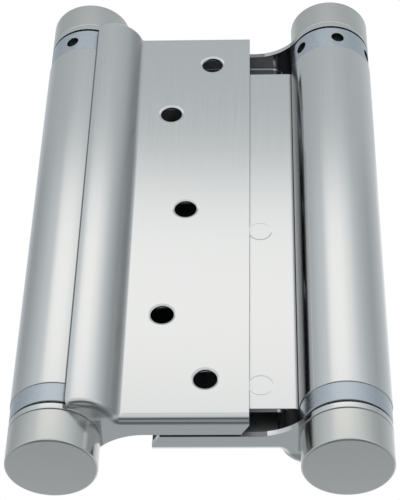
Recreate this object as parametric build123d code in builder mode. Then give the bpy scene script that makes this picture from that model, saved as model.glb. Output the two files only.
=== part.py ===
from build123d import *
import os
from math import asin, atan2, cos, degrees, radians, sin, sqrt

# Double action spring hinge for a door that swings both ways, 150 mm tall.
# Millimetres. Z is up, X runs from the left barrel to the right one, and the front leaf faces -Y.
# The origin is on the floor, midway between the two barrels. The hinge stands on its lower caps.
# Every piece of the right barrel is the left one turned half a turn about Z, and so is the back leaf.

# Overall sizes
overall_height = 150.0
axis_spacing = 66.0
sheet = 1.4

# Barrel: rolled tube of the web, and the play inside it
tube_radius = 10.7
web_bend_radius = 1.2
seam_angle = 9.0

# End caps
cap_inset = 0.2
cap_height = 9.0
cap_floor = 2.5
cap_edge = 0.5

# Spindle and its bearings
spindle_radius = 4.5
spindle_edge = 0.5
spindle_clearance = 0.05
bush_wall = 1.2
press_clearance = 0.02
washer_radius = 8.6
washer_thickness = 0.6

# Collars
collar_inset = 0.2
collar_edge = 0.3
fixed_collar_height = 5.1
adjusting_collar_height = 7.7
spigot_length = 8.0
turning_clearance = 0.3
tommy_hole_radius = 1.7
tommy_hole_depth = 4.0
tommy_hole_count = 6
left_hole_turn = -112.0
right_hole_turn = -80.0

# Torsion spring, square wire
wire = 2.5
spring_play = 0.4
spring_pitch = 9.0
spring_leg = 5.0
leg_clearance = 0.2
spring_end_gap = 0.1

# Leaves
leaf_face = 6.0
leaf_reach = 44.1
leaf_gap = 0.7
bend_radius = 0.6
hood_radius = 8.6
hood_from_axis = 6.6
hood_clearance = 0.2
hood_edge_from_axis = 3.3
crease_radius = 0.8
ear_inset = 0.2
ear_fillet = 14.0
corner_cut = 1.9
corner_relief = 0.3

# Screw holes of a leaf, from its free edge and from its middle height
screw_radius = 2.75
screw_sink_radius = 3.3
screw_sink_angle = 90.0
screw_edge = 0.2
outer_hole_inset = 10.0
outer_hole_rise = 54.3
inner_hole_inset = 20.5
inner_hole_rise = 34.8
middle_hole_inset = 15.9

# Shallow round press marks on the web
mark_radius = 3.0
mark_depth = 0.2
mark_from_axis = 19.3
upper_mark_drop = 3.0
lower_mark_drop = 52.0

# Heights that follow from the stack of pieces, from the floor up
middle = overall_height / 2
ear_bottom = cap_height
ear_top = overall_height - cap_height
collar_bottom = ear_bottom + sheet + washer_thickness
tube_bottom = collar_bottom + fixed_collar_height
collar_top = ear_top - sheet - washer_thickness
tube_top = collar_top - adjusting_collar_height
tube_length = tube_top - tube_bottom
spring_bottom = tube_bottom + spigot_length + spring_end_gap
spring_top = tube_top - spigot_length - spring_end_gap

# Radii that follow from the barrel and the fits
barrel_x = axis_spacing / 2
cap_radius = tube_radius - cap_inset
collar_radius = tube_radius - collar_inset
ear_radius = tube_radius - ear_inset
tube_bore_radius = tube_radius - sheet
running_bore_radius = spindle_radius + spindle_clearance
bush_radius = running_bore_radius + bush_wall
collar_bore_radius = bush_radius + press_clearance
fixed_spigot_radius = tube_bore_radius - press_clearance
turning_spigot_radius = tube_bore_radius - turning_clearance
spring_radius = tube_bore_radius - spring_play - wire / 2
slot_floor_radius = spring_radius - wire / 2 - leg_clearance
slot_width = wire + 2 * leg_clearance

# Plan of the web: the flat panel, a small bend, then the roll round the barrel
roll_radius = tube_radius - sheet / 2
web_turn_radius = web_bend_radius + sheet / 2
panel_end = barrel_x - sqrt((roll_radius + web_turn_radius) ** 2 - web_turn_radius**2)
web_turn_angle = degrees(atan2(barrel_x - panel_end, web_turn_radius))
roll_start = 90.0 + web_turn_angle
roll_angle = roll_start + 180.0 - seam_angle

# Plan of a leaf: the plate, a tight crease, then the hood over the front of the barrel
free_edge_x = leaf_reach - barrel_x
hood_x = hood_from_axis - barrel_x
hood_depth = tube_radius + hood_clearance + sheet - hood_radius
hood_edge_x = hood_edge_from_axis - barrel_x
hood_edge_turn = degrees(asin((hood_x - hood_edge_x) / hood_radius))
crease_depth = leaf_face + crease_radius
crease_x = hood_x + sqrt((hood_radius + crease_radius) ** 2 - (crease_depth - hood_depth) ** 2)
crease_angle = degrees(atan2(crease_x - hood_x, crease_depth - hood_depth))
outer_bend_radius = bend_radius + sheet

os.makedirs("parts", exist_ok=True)


def finish(builder, name):
    """Name a finished piece and write its file."""
    builder.part.label = name
    export_step(builder.part, f"parts/{name}.step")


def turned_plane(x, z):
    """Plane for half a turned section: its X is the radius and its Y the height above z."""
    return Plane(origin=(x, 0, z), x_dir=(1, 0, 0), z_dir=(0, -1, 0))


def spindle_axis(x):
    """Axis of the barrel at x."""
    return Axis((x, 0, 0), (0, 0, 1))


def at_hood_edge(radius):
    """Plan point on the line of the hood's edge, at a radius from the hood's own centre."""
    turn = radians(hood_edge_turn)
    return hood_x - radius * sin(turn), -hood_depth - radius * cos(turn)


# Centre web: one sheet, with a barrel rolled at each end and the seams on the inner side
with BuildPart() as centre_web:
    with BuildSketch(Plane.XY.offset(tube_bottom)):
        with BuildLine():
            Line((-panel_end, 0), (panel_end, 0))
            CenterArc((panel_end, web_turn_radius), web_turn_radius, -90, web_turn_angle)
            CenterArc((barrel_x, 0), roll_radius, roll_start, -roll_angle)
            CenterArc((-panel_end, -web_turn_radius), web_turn_radius, 90, web_turn_angle)
            CenterArc((-barrel_x, 0), roll_radius, roll_start - 180, -roll_angle)
        trace(line_width=sheet)
    extrude(amount=tube_length)
    front_face = Plane(origin=(0, -sheet / 2, middle), x_dir=(1, 0, 0), z_dir=(0, -1, 0))
    back_face = Plane(origin=(0, sheet / 2, middle), x_dir=(-1, 0, 0), z_dir=(0, 1, 0))
    for face_plane in (front_face, back_face):
        with Locations(face_plane):
            with Locations(
                (barrel_x - mark_from_axis, -upper_mark_drop),
                (barrel_x - mark_from_axis, -lower_mark_drop),
            ):
                Hole(mark_radius, depth=mark_depth)
finish(centre_web, "centre_web")


# Front leaf: plate and hood from one sheet, with an ear bent inwards at each end
def draw_leaf_line(depth):
    """Draw the plan of the leaf at a depth in its sheet, from its free edge to its hood's edge."""
    Line((free_edge_x, depth - leaf_face), (crease_x, depth - leaf_face))
    CenterArc((crease_x, -crease_depth), crease_radius + depth, 90, crease_angle)
    CenterArc(
        (hood_x, -hood_depth),
        hood_radius - depth,
        crease_angle - 90,
        -crease_angle - hood_edge_turn,
    )


def leaf_bends(leaf, depth, levels):
    """Pick the edges along plate, crease and hood at a depth in the sheet and at some heights."""
    half_crease = radians(crease_angle / 2)
    crease_middle = (
        crease_x - (crease_radius + depth) * sin(half_crease),
        (crease_radius + depth) * cos(half_crease) - crease_depth,
    )
    plate_middle = ((free_edge_x + crease_x) / 2, depth - leaf_face)
    hood_middle = (hood_x, depth - hood_depth - hood_radius)
    return [
        leaf.edges().sort_by_distance((*point, level))[0]
        for point in (plate_middle, crease_middle, hood_middle)
        for level in levels
    ]


with BuildPart() as front_leaf:
    with BuildSketch(Plane.XY.offset(ear_bottom)):
        with BuildLine():
            draw_leaf_line(sheet / 2)
        trace(line_width=sheet)
    extrude(amount=ear_top - ear_bottom)

    for ear_level in (ear_bottom, ear_top - sheet):
        with BuildSketch(Plane.XY.offset(ear_level)) as ear:
            with BuildLine():
                draw_leaf_line(0)
                Polyline(
                    at_hood_edge(hood_radius),
                    at_hood_edge(hood_radius / 2),
                    (-barrel_x, -leaf_gap / 2),
                    (free_edge_x - corner_cut, -leaf_gap / 2),
                    (free_edge_x, outer_bend_radius + corner_relief - leaf_face),
                    (free_edge_x, -leaf_face),
                )
            make_face()
            with Locations((-barrel_x, 0)):
                Circle(ear_radius)
            neck = ear.vertices().sort_by_distance((ear_radius - barrel_x, -leaf_gap / 2))[0]
            fillet(neck, ear_fillet)
            with Locations((-barrel_x, 0)):
                Circle(running_bore_radius, mode=Mode.SUBTRACT)
        extrude(amount=sheet)

    fillet(leaf_bends(front_leaf, 0, (ear_bottom, ear_top)), outer_bend_radius)
    fillet(leaf_bends(front_leaf, sheet, (ear_bottom + sheet, ear_top - sheet)), bend_radius)
    screw_plane = Plane(
        origin=(free_edge_x, sheet - leaf_face, middle), x_dir=(-1, 0, 0), z_dir=(0, 1, 0)
    )
    with Locations(screw_plane):
        with Locations(
            (outer_hole_inset, outer_hole_rise),
            (outer_hole_inset, -outer_hole_rise),
            (inner_hole_inset, inner_hole_rise),
            (inner_hole_inset, -inner_hole_rise),
            (middle_hole_inset, 0),
        ):
            CounterSinkHole(screw_radius, screw_sink_radius, sheet, screw_sink_angle)
    mouths = front_leaf.edges().filter_by(GeomType.CIRCLE).filter_by_position(
        Axis.Y, -leaf_face, -leaf_face
    )
    chamfer(mouths, screw_edge)
finish(front_leaf, "front_leaf")

with BuildPart() as back_leaf:
    add(front_leaf.part, rotation=(0, 0, 180))
finish(back_leaf, "back_leaf")

# The two barrels, each with its own stack of pieces
for side, x, half_turn, hole_turn in (
    ("left", -barrel_x, 0, left_hole_turn),
    ("right", barrel_x, 180, right_hole_turn),
):
    # Spindle: a plain rod through both ears, with its ends in the caps
    with BuildPart() as spindle:
        with BuildSketch(Plane.XY.offset(cap_floor)):
            with Locations((x, 0)):
                Circle(spindle_radius)
        extrude(amount=overall_height - 2 * cap_floor)
        chamfer(spindle.edges().filter_by(GeomType.CIRCLE), spindle_edge)
    finish(spindle, f"{side}_spindle")

    # End caps: turned, with a blind bore for the spindle's end
    for end, floor_level, bore_level in (("bottom", 0, cap_floor), ("top", ear_top, ear_top)):
        with BuildPart() as cap:
            with BuildSketch(Plane.XY.offset(floor_level)):
                with Locations((x, 0)):
                    Circle(cap_radius)
            extrude(amount=cap_height)
            with BuildSketch(Plane.XY.offset(bore_level)):
                with Locations((x, 0)):
                    Circle(running_bore_radius)
            extrude(amount=cap_height - cap_floor, mode=Mode.SUBTRACT)
            rims = cap.edges().filter_by(GeomType.CIRCLE).sort_by(SortBy.RADIUS)[-2:]
            chamfer(rims, cap_edge)
        finish(cap, f"{side}_{end}_cap")

    # Thrust washers between the ears and the collars
    for end, level in (("bottom", ear_bottom + sheet), ("top", collar_top)):
        with BuildPart() as washer:
            with BuildSketch(Plane.XY.offset(level)):
                with Locations((x, 0)):
                    Circle(washer_radius)
                    Circle(running_bore_radius, mode=Mode.SUBTRACT)
            extrude(amount=washer_thickness)
        finish(washer, f"{side}_{end}_washer")

    # Bushes: they line the collars from end to end
    for end, level, length in (
        ("bottom", collar_bottom, fixed_collar_height + spigot_length),
        ("top", tube_top - spigot_length, spigot_length + adjusting_collar_height),
    ):
        with BuildPart() as bush:
            with BuildSketch(Plane.XY.offset(level)):
                with Locations((x, 0)):
                    Circle(bush_radius)
                    Circle(running_bore_radius, mode=Mode.SUBTRACT)
            extrude(amount=length)
        finish(bush, f"{side}_{end}_bush")

    # Fixed collar: its spigot is pressed into the foot of the barrel, and a slot holds the spring's leg
    with BuildPart() as fixed_collar:
        with BuildSketch(turned_plane(x, collar_bottom)):
            with BuildLine():
                Polyline(
                    (collar_bore_radius, 0),
                    (collar_radius - collar_edge, 0),
                    (collar_radius, collar_edge),
                    (collar_radius, fixed_collar_height),
                    (fixed_spigot_radius, fixed_collar_height),
                    (fixed_spigot_radius, fixed_collar_height + spigot_length),
                    (collar_bore_radius, fixed_collar_height + spigot_length),
                    close=True,
                )
            make_face()
        revolve(axis=spindle_axis(x))
        with BuildSketch(Plane.XY.offset(tube_bottom + spigot_length)):
            with Locations((x, 0)):
                with PolarLocations(0, 1, half_turn):
                    with Locations((slot_floor_radius, wire / 2)):
                        Rectangle(tube_radius, slot_width, align=(Align.MIN, Align.CENTER))
        extrude(amount=-spring_leg - leg_clearance, mode=Mode.SUBTRACT)
    finish(fixed_collar, f"{side}_fixed_collar")

    # Adjusting collar: it turns in the head of the barrel and has a ring of tommy bar holes
    with BuildPart() as adjusting_collar:
        with BuildSketch(turned_plane(x, tube_top)):
            with BuildLine():
                Polyline(
                    (collar_bore_radius, -spigot_length),
                    (turning_spigot_radius, -spigot_length),
                    (turning_spigot_radius, 0),
                    (collar_radius, 0),
                    (collar_radius, adjusting_collar_height - collar_edge),
                    (collar_radius - collar_edge, adjusting_collar_height),
                    (collar_bore_radius, adjusting_collar_height),
                    close=True,
                )
            make_face()
        revolve(axis=spindle_axis(x))
        for index in range(tommy_hole_count):
            angle = radians(hole_turn + index * 360 / tommy_hole_count)
            outward = (cos(angle), sin(angle), 0)
            mouth = (
                x + collar_radius * cos(angle),
                collar_radius * sin(angle),
                tube_top + adjusting_collar_height / 2,
            )
            with Locations(Plane(origin=mouth, z_dir=outward)):
                Hole(tommy_hole_radius, depth=tommy_hole_depth)
        with BuildSketch(Plane.XY.offset(tube_top - spigot_length)):
            with Locations((x, 0)):
                with PolarLocations(0, 1, half_turn):
                    with Locations((slot_floor_radius, -wire / 2)):
                        Rectangle(tube_radius, slot_width, align=(Align.MIN, Align.CENTER))
        extrude(amount=spring_leg + leg_clearance, mode=Mode.SUBTRACT)
    finish(adjusting_collar, f"{side}_adjusting_collar")

# Torsion springs: square wire, with a straight leg into each collar
coil_height = spring_top - spring_bottom - wire
coil_turns = round(coil_height / spring_pitch)
with BuildPart() as left_torsion_spring:
    with BuildLine(Plane((-barrel_x, 0, spring_bottom + wire / 2))):
        coil = Helix(coil_height / coil_turns, coil_height, spring_radius)
    with BuildSketch(Plane(origin=coil @ 0, x_dir=(1, 0, 0), z_dir=coil % 0)):
        Rectangle(wire, wire)
    sweep(is_frenet=True)
    for leg_level, leg_y in ((spring_bottom - spring_leg, wire / 2), (spring_top - wire, -wire / 2)):
        with BuildSketch(Plane.XY.offset(leg_level)):
            with Locations((spring_radius - barrel_x, leg_y)):
                Rectangle(wire, wire)
        extrude(amount=wire + spring_leg)
finish(left_torsion_spring, "left_torsion_spring")

with BuildPart() as right_torsion_spring:
    add(left_torsion_spring.part, rotation=(0, 0, 180))
finish(right_torsion_spring, "right_torsion_spring")
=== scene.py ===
"""Looks of a double action spring hinge in stainless steel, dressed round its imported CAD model.

The hinge stands on its lower caps. Z is up, X runs from the left barrel to the right one, and the
front leaf faces -Y. Sizes are in millimetres, and finished meshes are in metres.
"""

import logging
import math
from collections.abc import Mapping, Sequence
from dataclasses import dataclass, field
from enum import Enum

import bmesh
import bpy
from mathutils import Matrix, Vector


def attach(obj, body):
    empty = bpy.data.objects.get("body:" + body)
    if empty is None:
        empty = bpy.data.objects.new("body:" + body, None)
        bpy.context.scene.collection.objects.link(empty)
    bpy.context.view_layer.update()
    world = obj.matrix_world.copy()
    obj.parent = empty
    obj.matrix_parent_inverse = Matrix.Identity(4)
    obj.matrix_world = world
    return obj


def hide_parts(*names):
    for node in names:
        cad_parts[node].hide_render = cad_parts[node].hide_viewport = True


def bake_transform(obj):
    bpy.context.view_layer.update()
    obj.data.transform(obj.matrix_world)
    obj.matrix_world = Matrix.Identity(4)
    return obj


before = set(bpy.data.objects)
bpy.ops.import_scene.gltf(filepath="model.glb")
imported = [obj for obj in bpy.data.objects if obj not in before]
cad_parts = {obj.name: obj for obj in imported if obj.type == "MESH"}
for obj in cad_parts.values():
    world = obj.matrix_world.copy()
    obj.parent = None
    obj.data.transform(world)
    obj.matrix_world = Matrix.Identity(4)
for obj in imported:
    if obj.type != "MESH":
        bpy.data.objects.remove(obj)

MM = 0.001
AXIS_SPACING = 66.0
BARREL_X = AXIS_SPACING / 2
OVERALL_HEIGHT = 150.0
# The angle, in degrees, from which an edge counts as sharp.
SHARP_EDGE = 40.0
# How far large faces keep their own shading against small ones; 50 is none.
FLAT_FACE_WEIGHT = 100
# Straight steps round a turned piece.
TURNING_STEPS = 96

log = logging.getLogger("spring_hinge")


def linear(code: str) -> tuple[float, float, float, float]:
    """Turn an sRGB hex colour to linear light.

    Args:
        code: The colour as six hex digits after a hash.

    Returns:
        Red, green, blue and an alpha of one.
    """
    parts = [int(code[start : start + 2], 16) / 255 for start in (1, 3, 5)]
    red, green, blue = (p / 12.92 if p <= 0.04045 else ((p + 0.055) / 1.055) ** 2.4 for p in parts)
    return red, green, blue, 1.0


def add_node(
    tree: bpy.types.NodeTree,
    kind: str,
    inputs: Mapping[str | int, object] | None = None,
    **settings: object,
) -> bpy.types.Node:
    """Add a node to a shader or geometry tree, with its settings and links.

    Args:
        tree: The tree that gets the node.
        kind: The node's type name.
        inputs: For each input, by name or number, a value or the socket that feeds it.
        settings: The node's own properties.

    Returns:
        The new node.
    """
    made = tree.nodes.new(kind)
    for name, value in settings.items():
        setattr(made, name, value)
    for key, value in (inputs or {}).items():
        if isinstance(value, bpy.types.NodeSocket):
            tree.links.new(value, made.inputs[key])
        else:
            made.inputs[key].default_value = value
    return made


def set_ramp(ramp: bpy.types.ColorRamp, stops: Sequence[tuple[float, float]]) -> None:
    """Give a colour ramp its grey stops.

    Args:
        ramp: The ramp to fill.
        stops: Position and linear grey of each stop, in rising order.
    """
    while len(ramp.elements) < len(stops):
        ramp.elements.new(1.0)
    for element, (position, grey) in zip(ramp.elements, stops):
        element.position = position
        element.color = (grey, grey, grey, 1.0)


class Side(Enum):
    """The two barrels of the hinge, each with the leaf that hangs on it."""

    LEFT = "left"
    RIGHT = "right"

    @property
    def x(self) -> float:
        """Place of the barrel's axis, in millimetres."""
        return -BARREL_X if self is Side.LEFT else BARREL_X

    @property
    def half_turn(self) -> float:
        """Turn about Z that brings the left barrel's parts to this side, in radians."""
        return 0.0 if self is Side.LEFT else math.pi

    @property
    def leaf(self) -> str:
        """The leaf's CAD node, which is also its body."""
        return "front_leaf" if self is Side.LEFT else "back_leaf"

    @property
    def collar_body(self) -> str:
        """The body of the adjusting collar."""
        return f"{self.value}_collar"


class Grain(Enum):
    """How the marks of working run over a metal surface."""

    ROLLED = "upright lines, along the barrels"
    TURNED = "rings about the nearer barrel's axis"
    EVEN = "the same in every direction"


# The hoods' flanks and the grooves between panel and barrels, where the colour is darkened as
# painted shade and the roughness raised as unbuffed: for each axis the distances from the middle
# plane where the place has not begun and where it has.
CREASE_SHADE_AND_DULL_ZONES = (
    (("Y", 6.1, 7.4), ("Y", 11.8, 8.6), ("X", 25.0, 22.5)),
    (("X", 22.0, 22.2), ("X", 24.5, 22.9), ("Y", 6.0, 5.5)),
)


@dataclass(frozen=True)
class MetalFinish:
    """A bare or plated metal surface with the marks of how it was worked.

    Attributes:
        name: The material's name.
        colour: The metal's own colour.
        roughness: Mean roughness.
        roughness_swing: How far the roughness goes up and down with the grain.
        tone_swing: Share by which the colour darkens and lightens with the grain.
        grain: How the marks run.
        grain_width: Width of one mark, in millimetres, coarser than a real one so that it shows.
        grain_length: Length of one mark, in millimetres.
        grain_depth: Depth of the marks, in millimetres.
        crease_shade_and_dulling: Share of the tone taken off in the leaves' creases and grooves as
            painted shade; half of it is added to the roughness as unbuffed dullness.
    """

    name: str
    colour: str
    roughness: float
    roughness_swing: float
    tone_swing: float
    grain: Grain
    grain_width: float
    grain_length: float
    grain_depth: float
    crease_shade_and_dulling: float = 0.0

    def build(self) -> bpy.types.Material:
        """Make the material.

        Returns:
            The new material.
        """
        material = bpy.data.materials.new(self.name)
        material.use_nodes = True
        tree = material.node_tree
        shader = tree.nodes["Principled BSDF"]
        shader.inputs["Metallic"].default_value = 1.0
        # One in the creases and grooves, where painted shade darkens the colour and the roughness
        # rises.
        crease_shade_and_dull = self._crease_share(tree)
        marks = add_node(
            tree,
            "ShaderNodeTexNoise",
            {"Vector": self._grain_place(tree), "Scale": 1.0, "Detail": 3.0, "Roughness": 0.55},
        )
        rough = add_node(
            tree,
            "ShaderNodeMapRange",
            {
                "Value": marks.outputs["Fac"],
                "From Min": 0.3,
                "From Max": 0.7,
                "To Min": self.roughness - self.roughness_swing,
                "To Max": self.roughness + self.roughness_swing,
            },
        )
        tone = add_node(
            tree,
            "ShaderNodeMapRange",
            {
                "Value": marks.outputs["Fac"],
                "From Min": 0.3,
                "From Max": 0.7,
                "To Min": 1.0 - self.tone_swing,
                "To Max": 1.0 + self.tone_swing,
            },
        )
        # Painted shade: the tone goes down in the creases and grooves.
        kept = add_node(
            tree,
            "ShaderNodeMath",
            {0: crease_shade_and_dull, 1: -self.crease_shade_and_dulling, 2: tone.outputs["Result"]},
            operation="MULTIPLY_ADD",
        )
        colour = add_node(
            tree,
            "ShaderNodeVectorMath",
            {0: linear(self.colour)[:3], "Scale": kept.outputs[0]},
            operation="SCALE",
        )
        rougher = add_node(
            tree,
            "ShaderNodeMath",
            {0: crease_shade_and_dull, 1: self.crease_shade_and_dulling / 2, 2: rough.outputs["Result"]},
            operation="MULTIPLY_ADD",
        )
        relief = add_node(
            tree,
            "ShaderNodeBump",
            {"Height": marks.outputs["Fac"], "Strength": 1.0, "Distance": self.grain_depth * MM},
        )
        tree.links.new(colour.outputs["Vector"], shader.inputs["Base Color"])
        tree.links.new(rougher.outputs[0], shader.inputs["Roughness"])
        tree.links.new(relief.outputs["Normal"], shader.inputs["Normal"])
        return material

    @staticmethod
    def _crease_share(tree: bpy.types.NodeTree) -> bpy.types.NodeSocket:
        """Find the flanks of the leaves' hoods and the grooves between panel and barrels.

        Args:
            tree: The material's tree.

        Returns:
            One deep in a crease or groove, where painted shade darkens the colour, nought on the
            plates and on the fronts of the hoods.
        """
        place = add_node(tree, "ShaderNodeTexCoord").outputs["Object"]
        from_middle = add_node(tree, "ShaderNodeVectorMath", {0: place}, operation="ABSOLUTE")
        parts = add_node(tree, "ShaderNodeSeparateXYZ", {"Vector": from_middle.outputs["Vector"]})
        total = 0.0
        for zone in CREASE_SHADE_AND_DULL_ZONES:
            share = 1.0
            for axis, start, end in zone:
                share = add_node(
                    tree,
                    "ShaderNodeMapRange",
                    {
                        "Value": parts.outputs[axis],
                        "From Min": start * MM,
                        "From Max": end * MM,
                        "To Max": share,
                    },
                    interpolation_type="SMOOTHSTEP",
                ).outputs["Result"]
            total = add_node(tree, "ShaderNodeMath", {0: total, 1: share}).outputs[0]
        return total

    def _grain_place(self, tree: bpy.types.NodeTree) -> bpy.types.NodeSocket:
        """Lay the grain over the piece.

        Args:
            tree: The material's tree.

        Returns:
            A vector that grows by one over the width, or along the length, of one mark.
        """
        place = add_node(tree, "ShaderNodeTexCoord").outputs["Object"]
        across, along = 1 / (self.grain_width * MM), 1 / (self.grain_length * MM)
        if self.grain is Grain.EVEN:
            spread = (across, across, across)
        elif self.grain is Grain.ROLLED:
            spread = (across, across, along)
        else:
            place = self._ring_place(tree, place)
            spread = (across, along, across)
        scaled = add_node(
            tree, "ShaderNodeVectorMath", {0: place, 1: spread}, operation="MULTIPLY"
        )
        return scaled.outputs["Vector"]

    @staticmethod
    def _ring_place(
        tree: bpy.types.NodeTree, place: bpy.types.NodeSocket
    ) -> bpy.types.NodeSocket:
        """Turn a place into radius, length of arc and height about the nearer barrel's axis.

        Args:
            tree: The material's tree.
            place: The place on the piece.

        Returns:
            The radius, the arc and the height, in metres.
        """
        parts = add_node(tree, "ShaderNodeSeparateXYZ", {"Vector": place})
        side = add_node(tree, "ShaderNodeMath", {0: parts.outputs["X"]}, operation="ABSOLUTE")
        from_axis = add_node(
            tree,
            "ShaderNodeMath",
            {0: side.outputs[0], 1: BARREL_X * MM},
            operation="SUBTRACT",
        )
        flat = add_node(
            tree, "ShaderNodeCombineXYZ", {"X": from_axis.outputs[0], "Y": parts.outputs["Y"]}
        )
        radius = add_node(
            tree, "ShaderNodeVectorMath", {0: flat.outputs["Vector"]}, operation="LENGTH"
        )
        turn = add_node(
            tree,
            "ShaderNodeMath",
            {0: parts.outputs["Y"], 1: from_axis.outputs[0]},
            operation="ARCTAN2",
        )
        arc = add_node(
            tree,
            "ShaderNodeMath",
            {0: turn.outputs[0], 1: radius.outputs["Value"]},
            operation="MULTIPLY",
        )
        rings = add_node(
            tree,
            "ShaderNodeCombineXYZ",
            {"X": radius.outputs["Value"], "Y": arc.outputs[0], "Z": parts.outputs["Z"]},
        )
        return rings.outputs["Vector"]


@dataclass(frozen=True)
class NylonFinish:
    """Natural nylon, injection moulded: a milky plastic with a soft sheen.

    Attributes:
        name: The material's name.
        colour: The nylon's own colour.
        deep_colour: Its colour where the skin is thicker.
        roughness: Roughness of the moulded skin.
        refraction: The nylon's index of refraction.
        grain_width: Size of the mould's fine texture, in millimetres, drawn coarser to show.
        grain_depth: Depth of that texture, in millimetres.
    """

    name: str = "natural_nylon_moulded"
    colour: str = "#E3DFD2"
    deep_colour: str = "#D8D3C4"
    roughness: float = 0.42
    refraction: float = 1.53
    grain_width: float = 0.25
    grain_depth: float = 0.004

    def build(self) -> bpy.types.Material:
        """Make the material.

        Returns:
            The new material.
        """
        material = bpy.data.materials.new(self.name)
        material.use_nodes = True
        tree = material.node_tree
        shader = tree.nodes["Principled BSDF"]
        shader.inputs["Roughness"].default_value = self.roughness
        shader.inputs["IOR"].default_value = self.refraction
        place = add_node(tree, "ShaderNodeTexCoord").outputs["Object"]
        skin = add_node(
            tree,
            "ShaderNodeTexNoise",
            {"Vector": place, "Scale": 1 / (self.grain_width * MM), "Detail": 2.0},
        )
        tint = add_node(
            tree,
            "ShaderNodeMixRGB",
            {0: skin.outputs["Fac"], 1: linear(self.colour), 2: linear(self.deep_colour)},
        )
        relief = add_node(
            tree,
            "ShaderNodeBump",
            {"Height": skin.outputs["Fac"], "Distance": self.grain_depth * MM},
        )
        tree.links.new(tint.outputs[0], shader.inputs["Base Color"])
        tree.links.new(relief.outputs["Normal"], shader.inputs["Normal"])
        return material


# Cold-rolled stainless sheet, buffed after forming: clear reflections that are a little soft.
SHEET_FINISH = MetalFinish(
    name="stainless_sheet_buffed",
    colour="#E5E6E6",
    roughness=0.12,
    roughness_swing=0.01,
    tone_swing=0.01,
    grain=Grain.ROLLED,
    grain_width=0.35,
    grain_length=24.0,
    grain_depth=0.0002,
    # Painted shade: the colour darkens by this share in the creases and grooves.
    crease_shade_and_dulling=0.42,
)
# The same sheet as it came from the mill, on the leaves' inner sides: dull, and darkened as
# painted shade, for these sides lie in shade between leaf, web and barrel.
MILL_AND_SHADE_FINISH = MetalFinish(
    name="stainless_sheet_mill_painted_shade",
    colour="#999A9B",
    roughness=0.42,
    roughness_swing=0.06,
    tone_swing=0.05,
    grain=Grain.ROLLED,
    grain_width=0.3,
    grain_length=6.0,
    grain_depth=0.001,
)
# Stainless bar, turned and satin brushed: fine rings that draw its highlights out.
CAP_FINISH = MetalFinish(
    name="stainless_bar_turned",
    colour="#DDDDDA",
    roughness=0.18,
    roughness_swing=0.02,
    tone_swing=0.015,
    grain=Grain.TURNED,
    grain_width=0.3,
    grain_length=9.0,
    grain_depth=0.0003,
)
# Zinc plate with a blue passivation: soft reflections with a cold tint.
COLLAR_FINISH = MetalFinish(
    name="zinc_plate_blue_passivated",
    colour="#CBD3DB",
    roughness=0.28,
    roughness_swing=0.03,
    tone_swing=0.03,
    grain=Grain.EVEN,
    grain_width=1.2,
    grain_length=1.2,
    grain_depth=0.0001,
)
# Drilled steel inside the tommy bar holes, rough, and darkened to nearly black as painted shade.
BORE_SHADE_FINISH = MetalFinish(
    name="steel_drilled_painted_shade",
    colour="#4B4C4E",
    roughness=0.4,
    roughness_swing=0.05,
    tone_swing=0.1,
    grain=Grain.EVEN,
    grain_width=0.3,
    grain_length=0.3,
    grain_depth=0.002,
)
# Steel ground between centres: dull silver with very fine rings.
GROUND_FINISH = MetalFinish(
    name="bright_steel_ground",
    colour="#CFCFCE",
    roughness=0.28,
    roughness_swing=0.05,
    tone_swing=0.03,
    grain=Grain.TURNED,
    grain_width=0.2,
    grain_length=6.0,
    grain_depth=0.0008,
)
# Drawn spring wire, blackened in oil: dark with a broad sheen.
SPRING_FINISH = MetalFinish(
    name="spring_steel_oil_blackened",
    colour="#7A7976",
    roughness=0.36,
    roughness_swing=0.06,
    tone_swing=0.1,
    grain=Grain.EVEN,
    grain_width=0.4,
    grain_length=0.4,
    grain_depth=0.002,
)
NYLON_FINISH = NylonFinish()


@dataclass
class Finishes:
    """All the materials of the hinge, built once.

    Attributes:
        mill: The leaves' inner sides, as rolled and darkened as painted shade.
        sheet: Buffed stainless sheet of the web and leaves.
        cap: Turned stainless of the end caps.
        collar: Blue zinc plate of the collars.
        bore: Drilled steel inside the tommy bar holes, darkened as painted shade.
        ground: Ground steel of the spindles and washers.
        spring: Blackened wire of the torsion springs.
        nylon: Moulded nylon of the bushes.
    """

    mill: bpy.types.Material = field(default_factory=MILL_AND_SHADE_FINISH.build)
    sheet: bpy.types.Material = field(default_factory=SHEET_FINISH.build)
    cap: bpy.types.Material = field(default_factory=CAP_FINISH.build)
    collar: bpy.types.Material = field(default_factory=COLLAR_FINISH.build)
    bore: bpy.types.Material = field(default_factory=BORE_SHADE_FINISH.build)
    ground: bpy.types.Material = field(default_factory=GROUND_FINISH.build)
    spring: bpy.types.Material = field(default_factory=SPRING_FINISH.build)
    nylon: bpy.types.Material = field(default_factory=NYLON_FINISH.build)


def plain_mesh(carrier: bpy.types.Object) -> bpy.types.Mesh:
    """Evaluate an object's modifiers to a plain mesh.

    Args:
        carrier: The object with its modifiers.

    Returns:
        The resulting mesh, which stands alone.
    """
    graph = bpy.context.evaluated_depsgraph_get()
    return bpy.data.meshes.new_from_object(
        carrier.evaluated_get(graph), preserve_all_data_layers=True, depsgraph=graph
    )


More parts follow.
